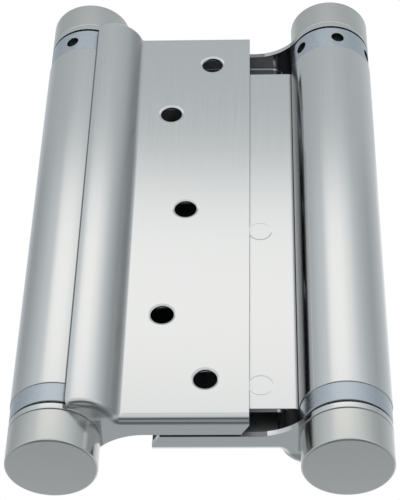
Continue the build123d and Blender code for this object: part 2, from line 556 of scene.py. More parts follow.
def settle(name: str, mesh: bpy.types.Mesh, bevel: float = 0.0) -> bpy.types.Object:
    """Soften a mesh's sharp edges and make its flat faces look flat.

    Args:
        name: The name of the finished piece.
        mesh: The mesh, in metres.
        bevel: Width of the bevel on the sharp edges, in millimetres, or nought.

    Returns:
        The finished piece, a plain mesh at the origin.
    """
    piece = bpy.data.objects.new(name, mesh)
    bpy.context.collection.objects.link(piece)
    mesh.polygons.foreach_set("use_smooth", [True] * len(mesh.polygons))
    if bevel:
        edges = piece.modifiers.new("edges", "BEVEL")
        edges.width = bevel * MM
        edges.segments = 2
        edges.limit_method = "ANGLE"
        edges.angle_limit = math.radians(SHARP_EDGE)
    normals = piece.modifiers.new("normals", "WEIGHTED_NORMAL")
    normals.weight = FLAT_FACE_WEIGHT
    piece.data = plain_mesh(piece)
    piece.modifiers.clear()
    piece.data.name = name
    return piece


def stand_for(
    piece: bpy.types.Object, node: str, body: str | None, material: bpy.types.Material
) -> None:
    """Put a finished piece in the place of a CAD node.

    Args:
        piece: The piece.
        node: The CAD node that it replaces.
        body: The body that it rides on, or None for a piece that is left on no body.
        material: The finish.
    """
    if not piece.data.materials:
        piece.data.materials.append(material)
    if body:
        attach(piece, body)
    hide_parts(node)
    log.info("%s: %d faces", piece.name, len(piece.data.polygons))


class Recipe:
    """A Geometry Nodes tree that draws in millimetres and ends in metres."""

    def __init__(self, name: str, sizes: Mapping[str, float | int]) -> None:
        """Start a tree.

        Args:
            name: The tree's name.
            sizes: Its named inputs and their values.
        """
        self.tree = bpy.data.node_groups.new(name, "GeometryNodeTree")
        self.sizes = dict(sizes)
        panel = self.tree.interface
        panel.new_socket("Geometry", in_out="INPUT", socket_type="NodeSocketGeometry")
        self._identifiers = {}
        for label, value in self.sizes.items():
            kind = "NodeSocketInt" if isinstance(value, int) else "NodeSocketFloat"
            made = panel.new_socket(label, in_out="INPUT", socket_type=kind)
            self._identifiers[label] = made.identifier
        for label in ("Finish", "Inside Finish"):
            finish = panel.new_socket(label, in_out="INPUT", socket_type="NodeSocketMaterial")
            self._identifiers[label] = finish.identifier
        panel.new_socket("Geometry", in_out="OUTPUT", socket_type="NodeSocketGeometry")
        self.given = add_node(self.tree, "NodeGroupInput").outputs

    def close(
        self, drawn: bpy.types.NodeSocket, inside: bpy.types.NodeSocket | None = None
    ) -> None:
        """End the tree: scale to metres, realise the instances and set the finishes.

        Args:
            drawn: The geometry, in millimetres.
            inside: Selection of the faces that take the inside finish, or None.
        """
        scaled = add_node(
            self.tree, "GeometryNodeTransform", {"Geometry": drawn, "Scale": (MM, MM, MM)}
        )
        real = add_node(
            self.tree, "GeometryNodeRealizeInstances", {"Geometry": scaled.outputs["Geometry"]}
        )
        finished = add_node(
            self.tree,
            "GeometryNodeSetMaterial",
            {"Geometry": real.outputs["Geometry"], "Material": self.given["Finish"]},
        )
        if inside:
            finished = add_node(
                self.tree,
                "GeometryNodeSetMaterial",
                {
                    "Geometry": finished.outputs["Geometry"],
                    "Selection": inside,
                    "Material": self.given["Inside Finish"],
                },
            )
        add_node(self.tree, "NodeGroupOutput", {"Geometry": finished.outputs["Geometry"]})

    def make(
        self,
        start: bpy.types.Mesh | bpy.types.Curve,
        material: bpy.types.Material,
        inside: bpy.types.Material | None = None,
    ) -> bpy.types.Mesh:
        """Run the tree on a start shape.

        Args:
            start: The mesh or curve that the tree is given, in millimetres.
            material: The finish.
            inside: The finish of the faces that the tree sets apart, or None.

        Returns:
            The plain mesh, in metres.
        """
        carrier = bpy.data.objects.new(self.tree.name, start)
        bpy.context.collection.objects.link(carrier)
        modifier = carrier.modifiers.new(self.tree.name, "NODES")
        modifier.node_group = self.tree
        for label, value in self.sizes.items():
            modifier[self._identifiers[label]] = value
        modifier[self._identifiers["Finish"]] = material
        modifier[self._identifiers["Inside Finish"]] = inside
        mesh = plain_mesh(carrier)
        bpy.data.objects.remove(carrier)
        return mesh


Corner = tuple[float, float, float]


def round_corners(corners: Sequence[Corner], steps: int = 4) -> list[tuple[float, float]]:
    """Round the corners of a closed outline.

    Args:
        corners: X, Y and rounding radius of each corner, in millimetres.
        steps: Number of straight steps in each rounded corner.

    Returns:
        The points of the rounded outline.
    """
    outline: list[tuple[float, float]] = []
    for index, (x, y, radius) in enumerate(corners):
        here = Vector((x, y))
        back = Vector(corners[index - 1][:2]) - here
        ahead = Vector(corners[(index + 1) % len(corners)][:2]) - here
        if not radius:
            outline.append((x, y))
            continue
        back.normalize()
        ahead.normalize()
        half = back.angle(ahead) / 2
        middle = here + (back + ahead).normalized() * (radius / math.sin(half))
        first = here + back * (radius / math.tan(half)) - middle
        last = here + ahead * (radius / math.tan(half)) - middle
        sweep = first.angle_signed(last)
        for step in range(steps + 1):
            turned = Matrix.Rotation(-sweep * step / steps, 2) @ first
            outline.append(tuple(middle + turned))
    return outline


def turn_outline(name: str, outline: Sequence[tuple[float, float]], x: float) -> bpy.types.Mesh:
    """Turn a closed outline about the barrel's axis at x.

    Args:
        name: The mesh's name.
        outline: Radius and height of each point, in millimetres.
        x: Place of the axis, in millimetres.

    Returns:
        The turned solid, in millimetres.
    """
    drawn = bmesh.new()
    rings = []
    for radius, height in outline:
        count = TURNING_STEPS if radius > 0 else 1
        rings.append(
            [
                drawn.verts.new(
                    (
                        x + radius * math.cos(math.tau * turn / TURNING_STEPS),
                        radius * math.sin(math.tau * turn / TURNING_STEPS),
                        height,
                    )
                )
                for turn in range(count)
            ]
        )
    for low, high in zip(rings, rings[1:] + rings[:1]):
        if len(low) == len(high) == 1:
            continue
        for turn in range(TURNING_STEPS):
            after = (turn + 1) % TURNING_STEPS
            if len(low) == 1:
                corners = (low[0], high[after], high[turn])
            elif len(high) == 1:
                corners = (low[turn], low[after], high[0])
            else:
                corners = (low[turn], low[after], high[after], high[turn])
            drawn.faces.new(corners)
    bmesh.ops.recalc_face_normals(drawn, faces=drawn.faces)
    mesh = bpy.data.meshes.new(name)
    drawn.to_mesh(mesh)
    drawn.free()
    return mesh


@dataclass
class CentreWeb:
    """The web: one sheet, flat in the middle, with a barrel rolled at each end.

    Attributes:
        sheet: Thickness of the sheet.
        tube_radius: Outer radius of a barrel.
        bend_radius: Inner radius of the bend from the panel to a barrel.
        seam_angle: Opening left at a barrel's seam, in degrees.
        foot: Height of the web's lower edge.
        length: Height of the sheet.
        edge_radius: Rounding of the sheared edges.
        step_angle: Angle of one step along the rolls, in degrees.
        mark_radius: Radius of the round press marks.
        mark_depth: Depth of the press marks.
        mark_slope: How far a mark's wall runs in from halfway to its floor.
        mark_x: Place of the press marks from the middle.
        mark_heights: Heights of the press marks.
        mark_steps: Number of straight steps round a mark.
    """

    sheet: float = 1.4
    tube_radius: float = 10.7
    bend_radius: float = 1.2
    seam_angle: float = 4.0
    foot: float = 16.1
    length: float = 115.2
    edge_radius: float = 0.18
    step_angle: float = 3.0
    mark_radius: float = 3.0
    mark_depth: float = 0.06
    mark_slope: float = 0.4
    mark_x: float = 13.7
    mark_heights: tuple[float, float] = (72.0, 23.0)
    mark_steps: int = 64

    def build(self, material: bpy.types.Material) -> None:
        """Make the web.

        Args:
            material: The sheet's finish.
        """
        recipe = self._recipe()
        line = bpy.data.curves.new("web_line", "CURVE")
        line.dimensions = "3D"
        points = self._line()
        spline = line.splines.new("POLY")
        spline.points.add(len(points) - 1)
        for place, (x, y) in zip(spline.points, points):
            place.co = (x, y, 0.0, 1.0)
        piece = settle("centre_web_sheet", recipe.make(line, material), bevel=0.05)
        stand_for(piece, "centre_web", "web", material)

    def _line(self) -> list[tuple[float, float]]:
        """Draw the middle line of the sheet in plan, from the left seam to the right one.

        Returns:
            The points of the line, in millimetres.
        """
        roll = self.tube_radius - self.sheet / 2
        turn = self.bend_radius + self.sheet / 2
        panel_end = BARREL_X - math.sqrt((roll + turn) ** 2 - turn**2)
        bend = math.degrees(math.atan2(BARREL_X - panel_end, turn))
        rolled = bend + 270.0 - self.seam_angle
        right = self._arc((panel_end, turn), turn, -90.0, bend)
        right += self._arc((BARREL_X, 0.0), roll, 90.0 + bend, -rolled)[1:]
        left = [(-x, -y) for x, y in reversed(right)]
        return left + right

    def _arc(
        self, centre: tuple[float, float], radius: float, start: float, sweep: float
    ) -> list[tuple[float, float]]:
        """Draw an arc as short steps.

        Args:
            centre: The arc's centre.
            radius: The arc's radius.
            start: The angle of its first point, in degrees.
            sweep: How far it turns, in degrees.

        Returns:
            The points of the arc.
        """
        steps = math.ceil(abs(sweep) / self.step_angle)
        angles = [math.radians(start + sweep * step / steps) for step in range(steps + 1)]
        return [
            (centre[0] + radius * math.cos(a), centre[1] + radius * math.sin(a)) for a in angles
        ]

    def _recipe(self) -> Recipe:
        """Make the tree that gives the line its sheet and presses the marks.

        Returns:
            The closed tree.
        """
        recipe = Recipe(
            "web_sheet",
            {
                "Sheet": self.sheet,
                "Foot": self.foot,
                "Length": self.length,
                "Edge Radius": self.edge_radius,
                "Mark Radius": self.mark_radius,
                "Mark Depth": self.mark_depth,
                "Mark Slope": self.mark_slope,
                "Mark X": self.mark_x,
                "Mark Height": self.mark_heights[0],
                "Mark Step": self.mark_heights[1] - self.mark_heights[0],
            },
        )
        tree, given = recipe.tree, recipe.given
        upright = add_node(
            tree, "GeometryNodeSetCurveNormal", {"Curve": given["Geometry"]}, mode="Z_UP"
        )
        section = add_node(
            tree,
            "GeometryNodeCurvePrimitiveQuadrilateral",
            {"Width": given["Sheet"], "Height": given["Length"]},
        )
        rounded = add_node(
            tree,
            "GeometryNodeFilletCurve",
            {"Curve": section.outputs["Curve"], "Radius": given["Edge Radius"], "Count": 3},
            mode="POLY",
        )
        swept = add_node(
            tree,
            "GeometryNodeCurveToMesh",
            {
                "Curve": upright.outputs["Curve"],
                "Profile Curve": rounded.outputs["Curve"],
                "Fill Caps": True,
            },
        )
        middle = add_node(
            tree,
            "ShaderNodeMath",
            {0: given["Length"], 1: 0.5, 2: given["Foot"]},
            operation="MULTIPLY_ADD",
        )
        lift = add_node(tree, "ShaderNodeCombineXYZ", {"Z": middle.outputs[0]})
        stood = add_node(
            tree,
            "GeometryNodeTransform",
            {"Geometry": swept.outputs["Mesh"], "Translation": lift.outputs["Vector"]},
        )
        marks = self._marks(tree, given)
        pressed = add_node(
            tree,
            "GeometryNodeMeshBoolean",
            {"Mesh 1": stood.outputs["Geometry"], "Mesh 2": marks},
            operation="DIFFERENCE",
            solver="EXACT",
        )
        recipe.close(pressed.outputs["Mesh"])
        return recipe

    def _marks(
        self, tree: bpy.types.NodeTree, given: bpy.types.NodeOutputs
    ) -> bpy.types.NodeSocket:
        """Set a tapered round punch at each press mark, two on each face.

        Args:
            tree: The tree.
            given: The tree's inputs.

        Returns:
            The punches.
        """
        step = add_node(tree, "ShaderNodeCombineXYZ", {"Z": given["Mark Step"]})
        double = add_node(
            tree, "ShaderNodeMath", {0: given["Mark Depth"], 1: 2.0}, operation="MULTIPLY"
        )
        nose, base = (
            add_node(
                tree,
                "ShaderNodeMath",
                {0: given["Mark Radius"], 1: given["Mark Slope"]},
                operation=way,
            ).outputs[0]
            for way in ("SUBTRACT", "ADD")
        )
        punch = add_node(
            tree,
            "GeometryNodeMeshCone",
            {
                "Vertices": self.mark_steps,
                "Side Segments": 3,
                "Radius Top": nose,
                "Radius Bottom": base,
                "Depth": double.outputs[0],
            },
        )
        outside = add_node(
            tree,
            "ShaderNodeMath",
            {0: given["Sheet"], 1: -0.5, 2: given["Mark Depth"]},
            operation="MULTIPLY_ADD",
        )
        face = add_node(
            tree,
            "ShaderNodeMath",
            {0: outside.outputs[0], 1: double.outputs[0]},
            operation="SUBTRACT",
        )
        front = add_node(
            tree,
            "ShaderNodeCombineXYZ",
            {"X": given["Mark X"], "Y": face.outputs[0], "Z": given["Mark Height"]},
        )
        back = add_node(
            tree,
            "ShaderNodeVectorMath",
            {0: front.outputs["Vector"], 1: (-1.0, -1.0, 1.0)},
            operation="MULTIPLY",
        )
        punches = add_node(tree, "GeometryNodeJoinGeometry")
        for first, turn in ((front, -math.pi / 2), (back, math.pi / 2)):
            row = add_node(
                tree,
                "GeometryNodeMeshLine",
                {
                    "Count": 2,
                    "Start Location": first.outputs["Vector"],
                    "Offset": step.outputs["Vector"],
                },
            )
            placed = add_node(
                tree,
                "GeometryNodeInstanceOnPoints",
                {
                    "Points": row.outputs["Mesh"],
                    "Instance": punch.outputs["Mesh"],
                    "Rotation": (turn, 0.0, 0.0),
                },
            )
            tree.links.new(placed.outputs["Instances"], punches.inputs["Geometry"])
        return punches.outputs["Geometry"]


@dataclass
class Leaf:
    """A leaf: plate, hood and ears pressed from one sheet, with its sheared edges broken.

    Attributes:
        side: The barrel on which it hangs.
        hood_reach: How far from the axis the hood ends and the plate begins.
        edge: Width of the broken edges.
        join: Distance within which the CAD mesh's loose corners are one.
        flat: Angle between faces that are taken as one flat face, in degrees.
        sheet: Thickness of the sheet.
        face: Distance of the plate's outer face from the middle plane.
        hood_radius: Outer radius of the hood.
        hood_from_axis: Place of the hood's own centre from the barrel's axis.
        hood_depth: Distance of the hood's own centre from the middle plane.
        crease_radius: Inner radius of the crease between plate and hood.
        facet_turn: Largest angle between a facet and the curve that it stands for, in degrees.
        holes: Place of each screw hole across from the middle, on the front leaf, and its height.
        hole_roll: Radius about a screw hole within which the punch drew the outer face in.
    """

    side: Side
    hood_reach: float = 15.5
    edge: float = 0.12
    join: float = 0.001
    flat: float = 0.2
    sheet: float = 1.4
    face: float = 6.0
    hood_radius: float = 8.6
    hood_from_axis: float = 6.6
    hood_depth: float = 3.7
    crease_radius: float = 0.8
    facet_turn: float = 16.0
    holes: Sequence[tuple[float, float]] = (
        (1.1, 129.3),
        (-9.4, 109.8),
        (-4.8, 75.0),
        (-9.4, 40.2),
        (1.1, 20.7),
    )
    hole_roll: float = 3.4

    def build(self, finishes: Finishes) -> None:
        """Make the leaf, buffed outside and left as rolled inside.

        Args:
            finishes: The object's finishes.
        """
        mesh = self._merged()
        mesh.materials.append(finishes.sheet)
        mesh.materials.append(finishes.mill)
        # The inner sides take the mill finish, darkened as painted shade.
        for face in mesh.polygons:
            face.material_index = int(self._shaded_inside(face))
        leaf = self.side.leaf
        piece = settle(f"{leaf}_sheet", mesh, bevel=self.edge)
        self._round_shading(piece.data)
        stand_for(piece, leaf, leaf, finishes.sheet)

    def _curves(self) -> list[tuple[Vector, float, float]]:
        """List the round surfaces of the sheet in plan.

        Returns:
            For each the centre, the radius and 1 where it bulges or -1 where it is hollow.
        """
        hood = Vector((self.hood_from_axis - BARREL_X, -self.hood_depth))
        drop = self.face + self.crease_radius
        reach = self.hood_radius + self.crease_radius
        run = math.sqrt(reach**2 - (drop - self.hood_depth) ** 2)
        crease = Vector((hood.x + run, -drop))
        return [
            (hood, self.hood_radius, 1.0),
            (hood, self.hood_radius - self.sheet, -1.0),
            (crease, self.crease_radius, -1.0),
            (crease, self.crease_radius + self.sheet, 1.0),
        ]

    def _round_shading(self, mesh: bpy.types.Mesh) -> None:
        """Give the corners of the facets along hood and crease the curve's own normals.

        Args:
            mesh: The leaf's mesh, in metres.
        """
        front = -math.copysign(1.0, self.side.x)
        normals = [corner.vector.copy() for corner in mesh.corner_normals]
        least = math.cos(math.radians(self.facet_turn))
        for face in mesh.polygons:
            middle = face.center.xy * front / MM
            for centre, radius, bulge in self._curves():
                away = middle - centre
                near = abs(away.length - radius) < self.crease_radius / 4
                if near and face.normal.xy.dot(away.normalized() * bulge * front) > least:
                    for loop in face.loop_indices:
                        corner = mesh.vertices[mesh.loops[loop].vertex_index].co.xy * front / MM
                        out = (corner - centre).normalized() * bulge * front
                        normals[loop] = out.to_3d()
        mesh.normals_split_custom_set(normals)

    def _shaded_inside(self, face: bpy.types.MeshPolygon) -> bool:
        """Say whether a face looks to the web or to the barrel.

        Args:
            face: A face of the leaf.

        Returns:
            True on the inner side of the plate and of the hood, which takes the painted shade.
        """
        inward = Vector((self.side.x * MM, 0.0, 0.0)) - face.center
        inward.z = 0.0
        if abs(inward.x) > self.hood_reach * MM:
            inward.x = 0.0
        return abs(face.normal.z) < 0.5 and face.normal.dot(inward.normalized()) > 0.5

    def _merged(self) -> bpy.types.Mesh:
        """Copy the CAD node's mesh, join its corners and clear the edges inside flat faces.

        Returns:
            The joined mesh, in metres.
        """
        drawn = bmesh.new()
        drawn.from_mesh(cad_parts[self.side.leaf].data)
        bmesh.ops.remove_doubles(drawn, verts=drawn.verts, dist=self.join * MM)
        bmesh.ops.dissolve_limit(
            drawn, angle_limit=math.radians(self.flat), verts=drawn.verts, edges=drawn.edges
        )
        self._roll_rims(drawn)
        mesh = bpy.data.meshes.new(f"{self.side.leaf}_joined")
        drawn.to_mesh(mesh)
        drawn.free()
        mesh.materials.clear()
        if "custom_normal" in mesh.attributes:
            mesh.attributes.remove(mesh.attributes["custom_normal"])
        return mesh

    def _roll_rims(self, drawn: bmesh.types.BMesh) -> None:
        """Draw the outer face in round each screw hole, as the punch does.

        Args:
            drawn: The leaf's joined mesh, in metres.
        """
        front = -math.copysign(1.0, self.side.x)
        for x, z in self.holes:
            centre = Vector((x * front, z)) * MM
            for vert in drawn.verts:
                away = vert.co.xz - centre
                outside = abs(vert.co.y + self.face * front * MM) < self.join * MM
                if outside and away.length < self.hole_roll * MM:
                    vert.co.x, vert.co.z = centre + away * (self.hole_roll * MM / away.length)


@dataclass
class TorsionSpring:
    """A closing spring: a coil of square wire with a straight leg into each collar.

    Attributes:
        side: The barrel that holds it.
        wire: Width of the square wire.
        wire_edge: Rounding of the wire's edges.
        radius: Radius of the coil's middle line.
        turns: Number of turns.
        low: Height of the lowest coil's underside.
        high: Height of the topmost coil's upper side.
        leg: Length of a leg.
        turn_steps: Number of straight steps in one turn.
    """

    side: Side
    wire: float = 2.5
    wire_edge: float = 0.25
    radius: float = 7.65
    turns: int = 11
    low: float = 24.2
    high: float = 123.2
    leg: float = 5.0
    turn_steps: int = 64

    def build(self, material: bpy.types.Material) -> None:
        """Make the spring.

        Args:
            material: The wire's finish.
        """
        start = bpy.data.meshes.new("spring_start")
        mesh = self._recipe().make(start, material)
        piece = settle(f"{self.side.value}_spring_coil", mesh)
        stand_for(piece, f"{self.side.value}_torsion_spring", None, material)
        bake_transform(piece)

    def _recipe(self) -> Recipe:
        """Make the tree that winds the coil and adds its legs.

        Returns:
            The closed tree.
        """
        recipe = Recipe(
            f"{self.side.value}_spring_wire",
            {
                "Wire": self.wire,
                "Wire Edge": self.wire_edge,
                "Radius": self.radius,
                "Turns": float(self.turns),
                "Rise": self.high - self.low - self.wire,
                "First Height": self.low + self.wire / 2,
                "Leg": self.leg,
                "Axis X": self.side.x,
                "Half Turn": self.side.half_turn,
            },
        )
        tree, given = recipe.tree, recipe.given
        section = add_node(
            tree,
            "GeometryNodeCurvePrimitiveQuadrilateral",
            {"Width": given["Wire"], "Height": given["Wire"]},
        )
        rounded = add_node(
            tree,
            "GeometryNodeFilletCurve",
            {"Curve": section.outputs["Curve"], "Radius": given["Wire Edge"], "Count": 2},
            mode="POLY",
        )
        coil = add_node(
            tree,
            "GeometryNodeCurveSpiral",
            {
                "Resolution": self.turn_steps,
                "Rotations": given["Turns"],
                "Start Radius": given["Radius"],
                "End Radius": given["Radius"],
                "Height": given["Rise"],
            },
        )
        joined = add_node(tree, "GeometryNodeJoinGeometry")
        tree.links.new(coil.outputs["Curve"], joined.inputs["Geometry"])
        half = add_node(tree, "ShaderNodeMath", {0: given["Wire"], 1: 0.5}, operation="MULTIPLY")
        reach = add_node(
            tree, "ShaderNodeMath", {0: half.outputs[0], 1: given["Leg"]}, operation="ADD"
        )
        for top in (False, True):
            sign = 1.0 if top else -1.0
            base = given["Rise"] if top else 0.0
            side = add_node(
                tree, "ShaderNodeMath", {0: half.outputs[0], 1: -sign}, operation="MULTIPLY"
            )
            near = add_node(
                tree,
                "ShaderNodeMath",
                {0: half.outputs[0], 1: -sign, 2: base},
                operation="MULTIPLY_ADD",
            )
            far = add_node(
                tree,
                "ShaderNodeMath",
                {0: reach.outputs[0], 1: sign, 2: base},
                operation="MULTIPLY_ADD",
            )
            ends = [
                add_node(
                    tree,
                    "ShaderNodeCombineXYZ",
                    {"X": given["Radius"], "Y": side.outputs[0], "Z": height.outputs[0]},
                ).outputs["Vector"]
                for height in (near, far)
            ]
            leg = add_node(
                tree, "GeometryNodeCurvePrimitiveLine", {"Start": ends[0], "End": ends[1]}
            )
            tree.links.new(leg.outputs["Curve"], joined.inputs["Geometry"])
        upright = add_node(
            tree, "GeometryNodeSetCurveNormal", {"Curve": joined.outputs["Geometry"]}, mode="Z_UP"
        )
        swept = add_node(
            tree,
            "GeometryNodeCurveToMesh",
            {
                "Curve": upright.outputs["Curve"],
                "Profile Curve": rounded.outputs["Curve"],
                "Fill Caps": True,
            },
        )
        place = add_node(
            tree, "ShaderNodeCombineXYZ", {"X": given["Axis X"], "Z": given["First Height"]}
        )
        turn = add_node(tree, "ShaderNodeCombineXYZ", {"Z": given["Half Turn"]})
        placed = add_node(
            tree,
            "GeometryNodeTransform",
            {
                "Geometry": swept.outputs["Mesh"],
                "Translation": place.outputs["Vector"],
                "Rotation": turn.outputs["Vector"],
            },
        )
        recipe.close(placed.outputs["Geometry"])
        return recipe


@dataclass
class Barrel:
    """The turned pieces on one barrel's axis: spindle, caps, washers, bushes and collars.

    Attributes:
        side: Which barrel it is.
        first_hole_turn: Angle of the first tommy bar hole, in degrees.
        tommy_holes: Number of tommy bar holes.
        tommy_radius: Radius of a tommy bar hole.
        tommy_depth: Depth of a tommy bar hole.
        hole_steps: Number of straight steps round a tommy bar hole.
        hole_margin: How far inside its limits a face of a hole's wall must lie.
        mouth_chamfer: Chamfer at the mouth of a tommy bar hole.
        cap_radius: Radius of the caps.
        cap_height: Height of a cap.
        cap_floor: Thickness of a cap's closed end.
        cap_edge: Rounding of a cap's two rims.
        bore: Radius of the bores that run on the spindle.
        spindle_radius: Radius of the spindle.
        spindle_edge: Rounding of the spindle's ends.
        washer_radius: Radius of the washers.
        film: Thickness of the grease between washer and collar.
        washer: Thickness of the washers.
        bush_radius: Outer radius of the bushes.
        collar_radius: Radius of the collars.
        collar_bore: Radius of the collars' bores.
        fixed_spigot: Radius of the fixed collar's spigot.
        turning_spigot: Radius of the adjusting collar's spigot.
        spigot: Length of the spigots.
        collar_low: Height of the fixed collar's underside.
        tube_low: Height of the barrel's lower end.
        tube_high: Height of the barrel's upper end.
        collar_high: Height of the adjusting collar's upper side.
        ear: Thickness of the leaf's ears.
        collar_edge: Rounding of the collars' outer edges.
        small_edge: Rounding of the other edges.
        slot_floor: Distance of the spring slot's floor from the axis.
        slot_width: Width of the spring slot.
        slot_shift: How far the spring slot lies beside the axis.
        slot_depth: Depth of the spring slot.
    """

    side: Side
    first_hole_turn: float
    tommy_holes: int = 6
    tommy_radius: float = 1.7
    tommy_depth: float = 4.0
    hole_steps: int = 40
    hole_margin: float = 0.05
    mouth_chamfer: float = 0.18
    cap_radius: float = 10.5
    cap_height: float = 9.0
    cap_floor: float = 2.5
    cap_edge: float = 0.5
    bore: float = 4.55
    spindle_radius: float = 4.5
    spindle_edge: float = 0.5
    washer_radius: float = 8.6
    film: float = 0.02
    washer: float = 0.6
    bush_radius: float = 5.75
    collar_radius: float = 10.5
    collar_bore: float = 5.77
    fixed_spigot: float = 9.28
    turning_spigot: float = 9.0
    spigot: float = 8.0
    collar_low: float = 11.0
    tube_low: float = 16.1
    tube_high: float = 131.3
    collar_high: float = 139.0
    ear: float = 1.4
    collar_edge: float = 0.3
    small_edge: float = 0.12
    slot_floor: float = 6.2
    slot_width: float = 2.9
    slot_shift: float = 1.25
    slot_depth: float = 5.2

    def build(self, finishes: Finishes) -> None:
        """Make all the turned pieces of the barrel.

        Args:
            finishes: The materials.
        """
        self._build_spindle(finishes.ground)
        self._build_caps(finishes.cap)
        self._build_washers(finishes.ground)
        self._build_bushes(finishes.nylon)
        self._build_fixed_collar(finishes)
        self._build_adjusting_collar(finishes)

    def _turned(
        self,
        node: str,
        corners: Sequence[Corner],
        body: str,
        slot: str,
        material: bpy.types.Material,
    ) -> None:
        """Turn an outline and put it in the place of a CAD node.

        Args:
            node: The node's name without its side.
            corners: Radius, height and rounding of each corner.
            body: The body that it rides on.
            slot: Not used.
            material: The finish.
        """
        name = f"{self.side.value}_{node}"
        mesh = turn_outline(f"{name}_turned", round_corners(corners), self.side.x)
        mesh.transform(Matrix.Scale(MM, 4))
        stand_for(settle(f"{name}_turned", mesh), name, body, material)

    def _build_spindle(self, material: bpy.types.Material) -> None:
        """Turn the spindle.

        Args:
            material: The steel's finish.
        """
        low, high = self.cap_floor, OVERALL_HEIGHT - self.cap_floor
        radius, edge = self.spindle_radius, self.spindle_edge
        corners = [(0.0, low, 0.0), (radius, low, edge), (radius, high, edge), (0.0, high, 0.0)]
        self._turned("spindle", corners, self.side.leaf, "bright_steel", material)

    def _build_caps(self, material: bpy.types.Material) -> None:
        """Turn the two end caps.

        Args:
            material: The caps' finish.
        """
        edge, small = self.cap_edge, self.small_edge
        for end in ("bottom", "top"):
            corners = [
                (0.0, 0.0, 0.0),
                (self.cap_radius, 0.0, edge),
                (self.cap_radius, self.cap_height, edge),
                (self.bore, self.cap_height, small),
                (self.bore, self.cap_floor, small),
                (0.0, self.cap_floor, 0.0),
            ]
            if end == "top":
                corners = [(r, OVERALL_HEIGHT - z, edge) for r, z, edge in corners]
            self._turned(f"{end}_cap", corners, self.side.leaf, "brushed_stainless", material)

    def _ring(self, inner: float, outer: float, low: float, high: float) -> list[Corner]:
        """Draw the section of a plain ring with small rounded edges."""
        edge = self.small_edge
        return [(inner, low, edge), (outer, low, edge), (outer, high, edge), (inner, high, edge)]

    def _build_washers(self, material: bpy.types.Material) -> None:
        """Turn the two thrust washers, each a film of grease short of the collar.

        Args:
            material: The steel's finish.
        """
        ear_top = self.cap_height + self.ear
        for end, low, high in (
            ("bottom", ear_top, ear_top + self.washer - self.film),
            ("top", self.collar_high + self.film, self.collar_high + self.washer),
        ):
            corners = self._ring(self.bore, self.washer_radius, low, high)
            self._turned(f"{end}_washer", corners, self.side.leaf, "bright_steel", material)

    def _build_bushes(self, material: bpy.types.Material) -> None:
        """Turn the two bushes.

        Args:
            material: The nylon's finish.
        """
        for end, low, high, body in (
            ("bottom", self.collar_low, self.tube_low + self.spigot, "web"),
            ("top", self.tube_high - self.spigot, self.collar_high, self.side.collar_body),
        ):
            corners = self._ring(self.bore, self.bush_radius, low, high)
            self._turned(f"{end}_bush", corners, body, "nylon", material)

    def _build_fixed_collar(self, finishes: Finishes) -> None:
        """Turn the fixed collar and cut its spring slot.

        Args:
            finishes: The object's finishes.
        """
        small, top = self.small_edge, self.tube_low + self.spigot
        corners = [
            (self.collar_bore, self.collar_low, small),
            (self.collar_radius, self.collar_low, self.collar_edge),
            (self.collar_radius, self.tube_low, small),
            (self.fixed_spigot, self.tube_low, 0.0),
            (self.fixed_spigot, top, small),
            (self.collar_bore, top, small),
        ]
        recipe = self._cutting_recipe("fixed_collar", 0, top - self.slot_depth, top)
        self._cut("fixed_collar", corners, recipe, "web", finishes)

    def _build_adjusting_collar(self, finishes: Finishes) -> None:
        """Turn the adjusting collar and drill its ring of tommy bar holes.

        Args:
            finishes: The object's finishes.
        """
        small, low = self.small_edge, self.tube_high - self.spigot
        corners = [
            (self.collar_bore, low, small),
            (self.turning_spigot, low, small),
            (self.turning_spigot, self.tube_high, 0.0),
            (self.collar_radius, self.tube_high, small),
            (self.collar_radius, self.collar_high, self.collar_edge),
            (self.collar_bore, self.collar_high, small),
        ]
        recipe = self._cutting_recipe(
            "adjusting_collar", self.tommy_holes, low, low + self.slot_depth
        )
        self._cut("adjusting_collar", corners, recipe, self.side.collar_body, finishes)

    def _cut(
        self,
        node: str,
        corners: Sequence[Corner],
        recipe: Recipe,
        body: str,
        finishes: Finishes,
    ) -> None:
        """Turn a collar and run its cuts.

        Args:
            node: The node's name without its side.
            corners: Radius, height and rounding of each corner.
            recipe: The tree that cuts it.
            body: The body that it rides on.
            finishes: The object's finishes.
        """
        name = f"{self.side.value}_{node}"
        blank = turn_outline(f"{name}_blank", round_corners(corners), self.side.x)
        mesh = recipe.make(blank, finishes.collar, finishes.bore)
        piece = settle(f"{name}_turned", mesh)
        stand_for(piece, name, body, finishes.collar)

